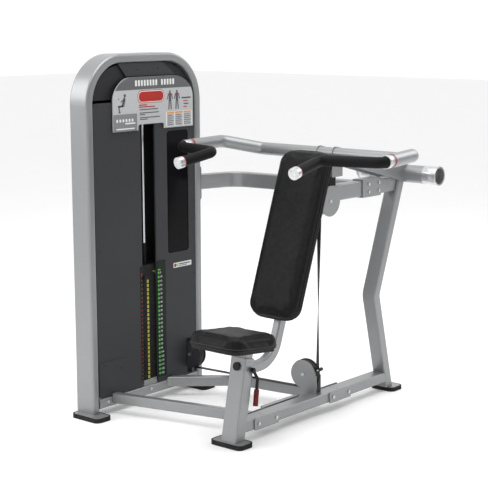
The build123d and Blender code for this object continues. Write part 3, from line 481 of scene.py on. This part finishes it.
# %% Seat pad
SEAT_TILT = math.radians(6)
SEAT_DEEP, SEAT_THICK, SEAT_CORNER = 0.320, 0.062, 0.058
seat_low, seat_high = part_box("seat_pad")
seat_slab = (seat_high.x - seat_low.x - PAD_GAP, SEAT_DEEP - PAD_GAP, SEAT_THICK - PAD_GAP)
seat_pad = pad_slab("seat_vinyl", *seat_slab, SEAT_CORNER, PAD_EDGE)
stuff(seat_pad, seat_slab[2], 0.005)
seat_place = (
    Matrix.Translation((seat_low + seat_high) / 2)
    @ Matrix.Rotation(-SEAT_TILT, 4, "X")
    @ Matrix.Translation((0, 0, -PAD_GAP / 2))
)
seat_seam = pad_seam("seat_seam", seat_pad, *seat_slab, SEAT_CORNER)
settle(seat_seam, seat_place)
settle(seat_pad, seat_place)
complete(seat_pad, pad_vinyl, "seat_carriage", 180)
complete(seat_seam, thread, "seat_carriage", 60)
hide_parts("seat_pad")
print("seat pad", tuple(round(v, 3) for v in seat_pad.dimensions), "solid",
      tuple(round(v, 3) for v in seat_high - seat_low))

# %% Back pad
BACK_LEAN = math.radians(19.5)
BACK_HIGH, BACK_THICK, BACK_CORNER = 0.788, 0.056, 0.068
back_low, back_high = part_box("back_pad")
back_slab = (back_high.x - back_low.x - PAD_GAP, BACK_HIGH - PAD_GAP, BACK_THICK - PAD_GAP)
back_pad = pad_slab("back_vinyl", *back_slab, BACK_CORNER, PAD_EDGE)
stuff(back_pad, back_slab[2], 0.006)
back_seam = pad_seam("back_seam", back_pad, *back_slab, BACK_CORNER)
back_place = (
    Matrix.Translation((back_low + back_high) / 2)
    @ Matrix.Rotation(math.pi / 2 - BACK_LEAN, 4, "X")
    @ Matrix.Translation((0, 0, -PAD_GAP / 2))
)
settle(back_seam, back_place)
settle(back_pad, back_place)
complete(back_pad, pad_vinyl, "frame", 180)
complete(back_seam, thread, "frame", 60)
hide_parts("back_pad")
print("back pad", tuple(round(v, 3) for v in back_pad.dimensions), "solid",
      tuple(round(v, 3) for v in back_high - back_low))

# %% [markdown]
# ## Belts
# Two belt runs end on a moving part: the one under the press arm and the one
# over the stack. Each is a strip cut into short lengths.

# %% Belt strips
def block(name, low, high, rounding=0.0, segments=2):
    """A block between two corners with its edges rounded."""
    clear_selection()
    low, high = Vector(low), Vector(high)
    bpy.ops.mesh.primitive_cube_add(size=1, location=(low + high) / 2, scale=high - low)
    piece = bpy.context.object
    piece.name = name
    settle(piece)
    if rounding:
        bpy.ops.object.mode_set(mode="EDIT")
        bpy.ops.mesh.select_all(action="SELECT")
        bpy.ops.mesh.bevel(offset=rounding, segments=segments, affect="EDGES")
        leave_edit()
    return piece


def belt_strip(name, node, bottom_moves):
    """A belt run in place of a frame node, cut into short lengths."""
    low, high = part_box(node)
    strip = block(name, low, high, 0.0007)
    bands = 24
    for i in range(1, bands):
        level = low.z + (high.z - low.z) * i / bands
        bpy.ops.object.mode_set(mode="EDIT")
        bpy.ops.mesh.select_all(action="SELECT")
        bpy.ops.mesh.bisect(plane_co=(0, 0, level), plane_no=(0, 0, 1))
        leave_edit()
    complete(strip, belt_rubber, None)
    middle = (low + high) / 2
    ends = [Vector((middle.x, middle.y, z)) for z in (low.z + 0.01, high.z - 0.01)]
    if bottom_moves:
        ends.reverse()
    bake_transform(strip)
    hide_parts(node)
    print(name, "faces", len(strip.data.polygons), "length", round(high.z - low.z, 3))
    return strip


belt_strip("arm_belt_run", "arm_belt", False)
belt_strip("stack_belt_run", "stack_belt", True)

# %% [markdown]
# ## Instruction board
# The board on the crown carries a dark header, a plain red badge, small seated
# and standing figures, rows of reading lines and a table. Words would make it
# somebody's own board, so bars stand for them. Each mark is a thin film cut to
# shape; one film per ink keeps the count of pieces low.

# %% Films
board_low, board_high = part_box("placard")
shift_y = board_low.y + 0.098      # puts the board's left edge at its drawn distance
FILM = 0.0004


def film(y0, y1, z0, z1, x, corner=0.0, turn=0.0):
    """A thin rectangle facing along X between two corners, turned in its own plane."""
    clear_selection()
    place = (x + FILM / 2, (y0 + y1) / 2 + shift_y, (z0 + z1) / 2)
    bpy.ops.mesh.primitive_cube_add(size=1, location=place, scale=(FILM, y1 - y0, z1 - z0))
    sheet = bpy.context.object
    sheet.rotation_euler.x = turn
    settle(sheet)
    if corner:
        pick(sheet, "EDGE", lambda ends: abs(ends[0].x - ends[1].x) > FILM / 2)
        bpy.ops.mesh.bevel(offset=corner, segments=4, affect="EDGES")
        leave_edit()
    return sheet


def dot(y, z, radius, x):
    """A thin round film."""
    clear_selection()
    bpy.ops.mesh.primitive_cylinder_add(
        vertices=20, radius=radius, depth=FILM,
        location=(x + FILM / 2, y + shift_y, z), rotation=(0, math.pi / 2, 0))
    return settle(bpy.context.object)


def line(start, end, width, x):
    """A thin film along a line from one (y, z) point to another, with round ends."""
    (y0, z0), (y1, z1) = start, end
    length = math.hypot(y1 - y0, z1 - z0) + width
    y, z = (y0 + y1) / 2, (z0 + z1) / 2
    turn = math.atan2(z1 - z0, y1 - y0)
    return film(y - length / 2, y + length / 2, z - width / 2, z + width / 2, x, width * 0.45, turn)


def gather(name, sheets, finish, body):
    """Join films into one piece and finish it."""
    clear_selection()
    for sheet in sheets:
        sheet.select_set(True)
    bpy.context.view_layer.objects.active = sheets[0]
    if len(sheets) > 1:
        bpy.ops.object.join()
    piece = bpy.context.object
    piece.name = name
    complete(piece, finish, body)
    print(name, "from", len(sheets), "films")
    return piece


# %% Header band and side lobe, cut from the board's own outline
def board_cut(name, cuts, finish):
    """A copy of the board, merged, cut by planes and moved a film's height forward."""
    clear_selection()
    source = NODES["placard"]
    part = bpy.data.objects.new(name, source.data.copy())
    bpy.context.scene.collection.objects.link(part)
    focus(part)
    bpy.ops.object.mode_set(mode="EDIT")
    bpy.ops.mesh.select_all(action="SELECT")
    bpy.ops.mesh.remove_doubles(threshold=0.00001)
    bpy.ops.mesh.select_mode(type="FACE")
    for point, normal in cuts:
        bpy.ops.mesh.select_all(action="SELECT")
        bpy.ops.mesh.bisect(plane_co=point, plane_no=normal, clear_inner=True, use_fill=True)
    leave_edit()
    corners = [v.co for v in part.data.vertices]
    middle = Vector([sum(c[i] for c in corners) / len(corners) for i in range(3)])
    shrink = Matrix.Diagonal((0.9, 0.994, 0.992, 1))
    shrink = Matrix.Translation(middle) @ shrink @ Matrix.Translation(-middle)
    part.data.transform(Matrix.Translation((0.0006, 0, 0)) @ shrink)
    return complete(part, finish, "frame")


header = board_cut("board_header", [((0, 0, 1.531), (0, 0, 1))], header_ink)
lobe_cuts = [((0, 0.059 + shift_y, 0), (0, -1, 0)), ((0, 0, 1.421), (0, 0, -1))]
board_cut("board_lobe", lobe_cuts, lobe_ink)
print("header top", round(max(v.co.z for v in header.data.vertices), 3))

# %% Marks on the board
face = board_high.x + 0.0001
raised = board_high.x + 0.0006
WORD_GAP = 8          # the bar left out between the two words
title = []
for i in range(14):
    if i != WORD_GAP:
        title.append(film(0.048 + i * 0.0195, 0.060 + i * 0.0195, 1.547, 1.575, raised, 0.003))
title += [film(-0.078 + i * 0.020, -0.067 + i * 0.020, 1.384, 1.398, raised, 0.002) for i in range(6)]
title += [film(-0.020, 0.045, 1.373, 1.380, raised), film(-0.078, 0.040, 1.349, 1.355, raised)]
gather("board_title", title, white_ink, "frame")

# %% Badge, red lines and figures
badge_border = film(0.064, 0.245, 1.466, 1.527, face, 0.028)
gather("badge_outer", [badge_border], red_ink, "frame")
rim = film(0.067, 0.242, 1.469, 1.524, face + FILM, 0.026)
gather("badge_rim", [rim], white_ink, "frame")
red_marks = [film(0.071, 0.238, 1.473, 1.520, face + 2 * FILM, 0.022)]
red_marks += [film(0.072, 0.126, 1.455, 1.460, face), film(0.072, 0.180, 1.446, 1.451, face)]
red_marks += [film(0.378, 0.410, 1.462, 1.466, face), film(0.378, 0.404, 1.434, 1.438, face)]
for middle in (0.284, 0.333):
    for side in (-1, 1):
        red_marks.append(dot(middle + side * 0.012, 1.499, 0.0035, face + FILM))
red_marks.append(dot(-0.060, 1.492, 0.0035, face))
gather("board_red_marks", red_marks, red_ink, "frame")

figure = [dot(-0.020, 1.507, 0.0075, face)]
figure.append(line((-0.023, 1.494), (-0.036, 1.459), 0.011, face))
figure.append(line((-0.036, 1.459), (-0.060, 1.457), 0.009, face))
figure.append(line((-0.060, 1.457), (-0.056, 1.432), 0.007, face))
figure.append(line((-0.062, 1.429), (-0.050, 1.429), 0.004, face))
figure.append(line((-0.025, 1.490), (-0.045, 1.478), 0.005, face))
figure.append(line((-0.018, 1.488), (-0.026, 1.456), 0.004, face))
for middle in (0.284, 0.333):
    figure += [dot(middle, 1.514, 0.0055, face), line((middle, 1.502), (middle, 1.476), 0.016, face)]
    for side in (-1, 1):
        figure.append(line((middle + side * 0.011, 1.501), (middle + side * 0.018, 1.478), 0.005, face))
        figure.append(line((middle + side * 0.005, 1.470), (middle + side * 0.008, 1.430), 0.007, face))
gather("board_figures", figure, dark_ink, "frame")

# %% Reading lines and table
reading = []
for level, ends in ((1.434, 0.200), (1.418, 0.206), (1.410, 0.112), (1.396, 0.213), (1.388, 0.128)):
    reading.append(film(0.076, ends, level, level + 0.0045, face))
reading += [film(0.366, 0.430, 1.476, 1.483, face), film(0.380, 0.414, 1.448, 1.453, face)]
columns = ((0.262, 0.312), (0.318, 0.372), (0.378, 0.434))
for left, right in columns:
    for row in range(6):
        level = 1.3525 + row * 0.009
        ends = right - 0.006 - 0.008 * (row % 2)
        reading.append(film(left + 0.003, ends, level, level + 0.003, face + 2 * FILM))
gather("board_reading_lines", reading, dark_ink, "frame")
gather("table_ground", [film(0.255, 0.440, 1.345, 1.417, face, 0.006)], white_ink, "frame")
cells = [film(left, right, 1.347, 1.407, face + FILM, 0.002) for left, right in columns]
gather("table_cells", cells, board_ink, "frame")
heads = [film(left, right, 1.408, 1.415, face + FILM) for left, right in columns]
gather("table_heads", heads, orange_ink, "frame")

# %% [markdown]
# ## Weight labels
# Beside the stack a green-black strip gives each plate its load, with a green
# tick and a number. A thin strip on the other side has red ticks, and a yellow
# tick is painted on each plate. Numbers are text turned into mesh.

# %% Ticks and numbers
label_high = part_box("stack_labels")[1]
plate_low, plate_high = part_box("weight_plates")
top_low, top_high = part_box("selected_plate")
pitch = (top_low.z - plate_low.z) / 24
half_plate = (top_high.z - top_low.z) / 2
plates = [plate_low.z + half_plate + pitch * i for i in range(24)]
rows = [plates[0] + 0.007 + 1.012 * pitch * i for i in range(25)]
print("plate pitch", round(pitch, 4))
label_face = label_high.x + 0.0001
green_ticks = [film(0.190, 0.201, z - 0.0055, z + 0.0055, label_face, 0.001) for z in rows]
green_ticks.append(film(0.190, 0.208, rows[-1] + 0.012, rows[-1] + 0.018, label_face, 0.001))
gather("green_ticks", green_ticks, green_ink, "frame")
red_ticks = [film(0.0745, 0.0795, z - 0.003, z + 0.003, label_face) for z in rows]
red_ticks.append(film(0.0745, 0.082, rows[-1] + 0.006, rows[-1] + 0.013, label_face))
gather("red_ticks", red_ticks, red_ink, "frame")

numbers = []
for i, z in enumerate(rows):
    clear_selection()
    bpy.ops.object.text_add(
        location=(label_face + FILM, 0.205 + shift_y, z - 0.0045), rotation=(math.pi / 2, 0, math.pi / 2))
    number = bpy.context.object
    number.data.body = str((25 - i) * 5)
    number.data.size = 0.0145
    number.data.extrude = FILM / 2
    number.data.resolution_u = 2
    bpy.ops.object.convert(target="MESH")
    numbers.append(settle(bpy.context.object))
gather("load_numbers", numbers, white_ink, "frame")

plate_face = plate_high.x + 0.0001
marks = [film(0.127, 0.139, z - 0.0072, z + 0.0072, plate_face, 0.001) for z in plates]
gather("plate_marks", marks, yellow_gloss, "frame")
head_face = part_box("head_plate")[1].x + 0.0001
corner = [film(0.168, 0.186, top_high.z + 0.013, top_high.z + 0.016, head_face)]
corner.append(film(0.183, 0.186, top_high.z + 0.002, top_high.z + 0.013, head_face))
gather("head_corner_mark", corner, yellow_gloss, "lifted_stack")

# %% Sticker under the window
shroud_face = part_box("shroud_window")[1].x + 0.0034
ground = film(0.303, 0.433, 0.643, 0.668, shroud_face, 0.003)
gather("sticker_ground", [ground], white_ink, "frame")
red_spot = film(0.308, 0.322, 0.647, 0.664, shroud_face + FILM, 0.004)
gather("sticker_red", [red_spot], red_ink, "frame")
green_spot = film(0.325, 0.333, 0.649, 0.662, shroud_face + FILM, 0.003)
gather("sticker_green", [green_spot], green_ink, "frame")
bars = [film(0.340, 0.424, 0.656, 0.661, shroud_face + FILM)]
bars.append(film(0.340, 0.400, 0.649, 0.652, shroud_face + FILM))
gather("sticker_bars", bars, dark_ink, "frame")

# %% [markdown]
# ## Trim
# Small parts finish the machine: a hood over the board, bright sleeves
# on the ends of the hub, collars where the grips meet the arm, and a roller
# that keeps the belt on the floor pulley. Each starts as a block or an open
# cylinder and gets a wall with Solidify; the cylinders also get round edges with Bevel.

# %% Hood over the board
HOOD_LEFT, HOOD_RIGHT = -0.048, 0.336
HOOD_BOTTOM, HOOD_TOP = 1.594, 1.656
hood = film(HOOD_LEFT, HOOD_RIGHT, HOOD_BOTTOM, HOOD_TOP, board_low.x - 0.010)
hood.name = "crown_hood"
for end, level, move in ((HOOD_RIGHT, HOOD_TOP, -0.086), (HOOD_LEFT, HOOD_BOTTOM, 0.053)):
    pick(hood, "VERT", lambda ends: False)
    leave_edit()
    for vertex in hood.data.vertices:
        vertex.select = abs(vertex.co.y - end - shift_y) < 0.001 and abs(vertex.co.z - level) < 0.001
    bpy.ops.object.mode_set(mode="EDIT")
    bpy.ops.transform.translate(value=(0, move, 0))
    leave_edit()
apply_modifier(hood, "SOLIDIFY", thickness=0.002, offset=0)
complete(hood, charcoal_paint, "frame")
screws = [dot(y, 1.625, 0.004, board_low.x - 0.0085) for y in (0.078, 0.217)]
gather("hood_screws", screws, black_plug, "frame")


# %% Sleeve along a line
def sleeve(name, start, end, radius, wall, edge):
    """An open tube between two points, with a wall and round edges."""
    clear_selection()
    start, end = Vector(start), Vector(end)
    axis = end - start
    bpy.ops.mesh.primitive_cylinder_add(
        vertices=64, radius=radius, depth=axis.length, end_fill_type="NOTHING",
        location=(start + end) / 2, rotation=axis.to_track_quat("Z", "Y").to_euler())
    tube = bpy.context.object
    tube.name = name
    settle(tube)
    apply_modifier(tube, "SOLIDIFY", thickness=wall, offset=1)
    apply_modifier(tube, "BEVEL", width=edge, segments=2, limit_method="ANGLE")
    return tube


# %% Hub sleeves
hub_low, hub_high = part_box("arm_hub")
hub_y, hub_z = (hub_low.y + hub_high.y) / 2, (hub_low.z + hub_high.z) / 2
hub_radius = (hub_high.z - hub_low.z) / 2
for side, end in (("left", hub_high.x), ("right", hub_low.x)):
    inward = -1 if side == "left" else 1
    body_end = (end + inward * 0.078, hub_y, hub_z)
    lip_start = (end + inward * 0.009, hub_y, hub_z)
    lip_end = (end - inward * 0.001, hub_y, hub_z)
    tube = sleeve("hub_sleeve_" + side, body_end, lip_end, hub_radius + 0.0002, 0.0016, 0.0006)
    complete(tube, turned_aluminium, "press_arm")
    lip = sleeve("hub_lip_" + side, lip_start, lip_end, hub_radius + 0.0016, 0.0026, 0.0011)
    complete(lip, turned_aluminium, "press_arm")
print("hub radius", round(hub_radius, 4))

# %% Grip collars
grip_middle = (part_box("grips")[0].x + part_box("grips")[1].x) / 2
for side, name in ((1, "left"), (-1, "right")):
    start = Vector((grip_middle + side * 0.570, 0.228 + shift_y, 1.268))
    ahead = Vector((side * 0.021, -0.213, -0.007)).normalized()
    collar_start, collar_end = start + ahead * 0.008, start + ahead * 0.034
    collar = sleeve("grip_collar_" + name, collar_start, collar_end, 0.0245, 0.004, 0.0016)
    complete(collar, turned_aluminium, "press_arm")

# %% Belt keeper
floor_low, floor_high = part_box("floor_pulley")
wheel = (floor_low + floor_high) / 2
tower_wheel = (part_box("tower_pulley")[0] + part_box("tower_pulley")[1]) / 2
along = (wheel - tower_wheel).normalized()
across = Vector((-along.y, along.x, 0))
spot = wheel + along * 0.081 + Vector((0, 0, 0.030))
roller = sleeve("belt_keeper", spot - across * 0.0165, spot + across * 0.0165, 0.004, 0.0045, 0.001)
complete(roller, nylon, "frame")
pin = sleeve("keeper_pin", spot - across * 0.024, spot + across * 0.024, 0.001, 0.0029, 0.0008)
complete(pin, zinc_steel, "frame")
print("belt keeper at", tuple(round(v, 3) for v in spot))

# %% [markdown]
# ## Studio
# A pale floor, a pale surround and three large soft lights. The camera stands in
# front and to the machine's left, a little above the handles.

# %% Floor and surround
clear_selection()
bpy.ops.mesh.primitive_plane_add(size=60, location=(0, 0, 0))
floor = bpy.context.object
floor.name = "studio_floor"
floor_finish = new_finish("pale_floor", (0.95, 0.95, 0.95), 0.0, 0.8, 0.1, Emission_Strength=0.10)
vary_color(floor_finish, pattern(floor_finish, "Noise", 2, Detail=3),
           (0.94, 0.94, 0.94), (0.96, 0.96, 0.96))
floor.data.materials.append(floor_finish)

world = bpy.data.worlds.new("pale_surround")
bpy.context.scene.world = world
world.use_nodes = True
sky = world.node_tree
direction = sky.nodes.new("ShaderNodeTexCoord")
split = sky.nodes.new("ShaderNodeSeparateXYZ")
fade = sky.nodes.new("ShaderNodeMapRange")
fade.inputs["From Min"].default_value = 0.0
fade.inputs["From Max"].default_value = 0.75
fade.inputs["To Min"].default_value = 1.05
fade.inputs["To Max"].default_value = 0.35
sky.links.new(direction.outputs["Generated"], split.inputs["Vector"])
sky.links.new(split.outputs["X"], fade.inputs["Value"])
sky.links.new(fade.outputs["Result"], sky.nodes["Background"].inputs["Strength"])
sky.nodes["Background"].inputs["Color"].default_value = (1, 1, 1, 1)
bpy.context.scene.view_settings.view_transform = "Standard"
print("floor and surround")


# %% Lights
def soft_light(name, place, aim, size, power):
    """A square area light at one point, facing another."""
    data = bpy.data.lights.new(name, "AREA")
    data.size = size
    data.energy = power
    lamp = bpy.data.objects.new(name, data)
    bpy.context.scene.collection.objects.link(lamp)
    lamp.location = place
    lamp.rotation_euler = (Vector(aim) - Vector(place)).to_track_quat("-Z", "Y").to_euler()
    return lamp


machine_middle = (0, 0, 0.8)
soft_light("overhead_softbox", (0.3, -0.6, 4.2), machine_middle, 3.2, 90)
soft_light("left_softbox", (-3.6, -3.2, 3.0), machine_middle, 2.4, 60)
soft_light("rear_softbox", (1.5, 4.0, 3.4), machine_middle, 2.4, 50)
print("three softboxes")

# %% Camera
camera_data = bpy.data.cameras.new("studio_camera")
camera_data.lens = 96.43
camera_data.sensor_width = 36
camera = bpy.data.objects.new("studio_camera", camera_data)
bpy.context.scene.collection.objects.link(camera)
turn, dip, roll = math.radians(40.46), math.radians(9.9), math.radians(-0.18)
camera.matrix_world = (
    Matrix.Translation((3.8703, -4.8749, 1.8692))
    @ Matrix.Rotation(turn, 4, "Z")
    @ Matrix.Rotation(math.pi / 2 - dip, 4, "X")
    @ Matrix.Rotation(roll, 4, "Z")
)
bpy.context.scene.camera = camera
print("camera", tuple(round(v, 3) for v in camera.location))
